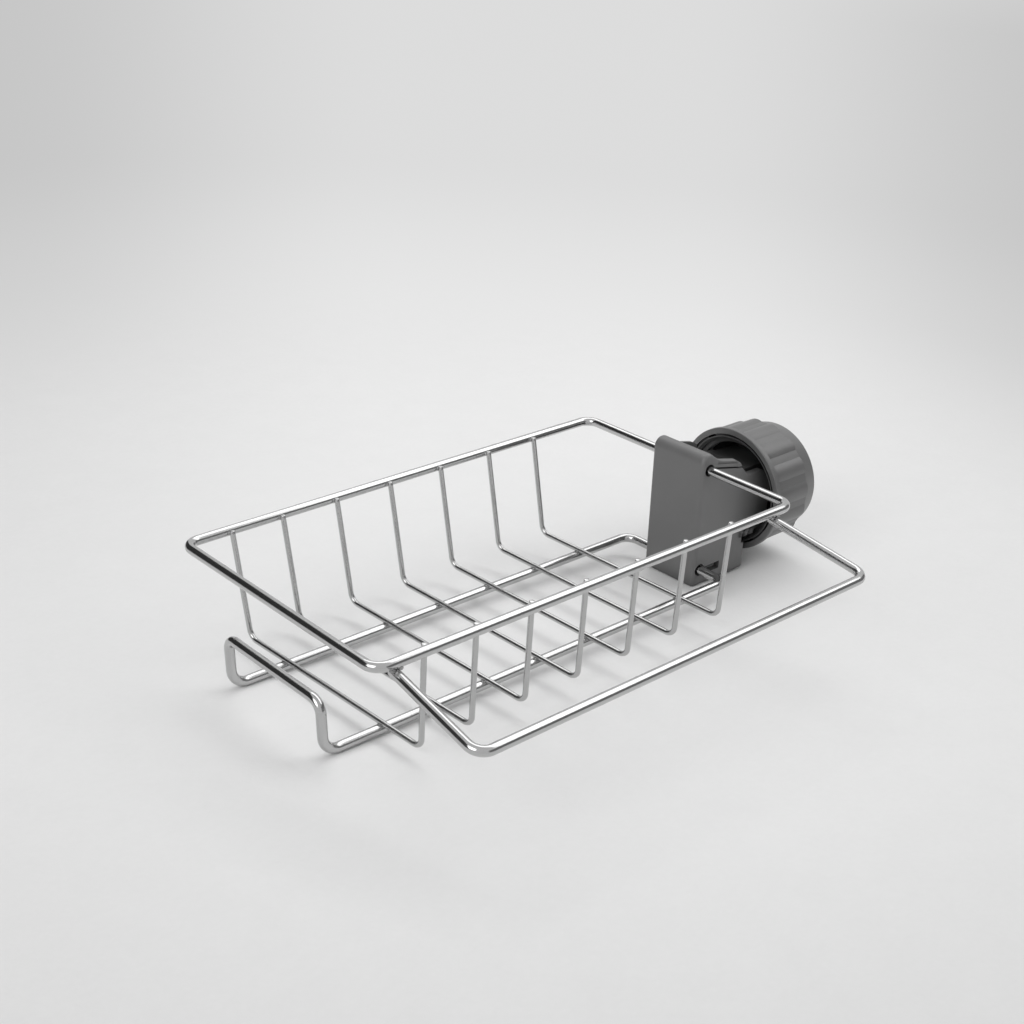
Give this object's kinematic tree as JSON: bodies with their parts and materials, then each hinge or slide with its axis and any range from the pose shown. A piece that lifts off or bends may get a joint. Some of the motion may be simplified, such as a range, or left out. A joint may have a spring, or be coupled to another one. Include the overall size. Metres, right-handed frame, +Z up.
{
  "type": "sponge holder",
  "caption": "Wire basket for sponges with a raised lip and a cloth rail, hung on a faucet pipe by a sliding plastic screw clamp.",
  "frame": {"origin": "where the axis of the gripped pipe crosses the knob's axis", "axes": "+X from the basket to the knob, +Z up along the pipe, -Y is the side of the cloth rail"},
  "size_m": [0.2828, 0.1703, 0.0633],
  "materials": {
    "polished_wire": "drawn stainless wire, polished",
    "satin_wire": "thin stainless wire, satin polished",
    "bracket_plastic": "moulded, fine matte texture",
    "block_plastic": "moulded, matte",
    "knob_plastic": "moulded, satin",
    "ring_plastic": "moulded, matte",
    "pad_rubber": "soft, dull",
    "screw_steel": "zinc plated"
  },
  "bodies": {
    "basket": {"rim_wire": "polished_wire", "base_wire": "polished_wire", "towel_rail": "polished_wire", "cross_wire_1": "satin_wire", "cross_wire_2": "satin_wire", "cross_wire_3": "satin_wire", "cross_wire_4": "satin_wire", "cross_wire_5": "satin_wire", "cross_wire_6": "satin_wire", "cross_wire_7": "satin_wire"},
    "clamp": {"clamp_bracket": "bracket_plastic", "saddle_pad": "pad_rubber"},
    "pusher": {"pressure_block": "block_plastic", "pressure_pad": "pad_rubber"},
    "knob": {"knob_shell": "knob_plastic", "knob_thread_ring": "ring_plastic", "pivot_screw": "screw_steel", "pivot_washer": "screw_steel"}
  },
  "joints": [
    {"name": "bracket_slide", "type": "slide", "parent": "basket", "child": "clamp", "axis": [0, 1, 0], "range_m": [-0.007, 0.007]},
    {"name": "pad_travel", "type": "slide", "parent": "clamp", "child": "pusher", "axis": [1, 0, 0], "range_m": [-0.00201, 0.00601]},
    {"name": "knob_turn", "type": "hinge", "parent": "pusher", "child": "knob", "pos_m": [0.02, 0, 0], "axis": [1, 0, 0], "range_deg": [-180, 540]}
  ],
  "couplings": [
    {"joint": "pad_travel", "follows": "knob_turn", "m_per_rad": 0.00063662}
  ]
}
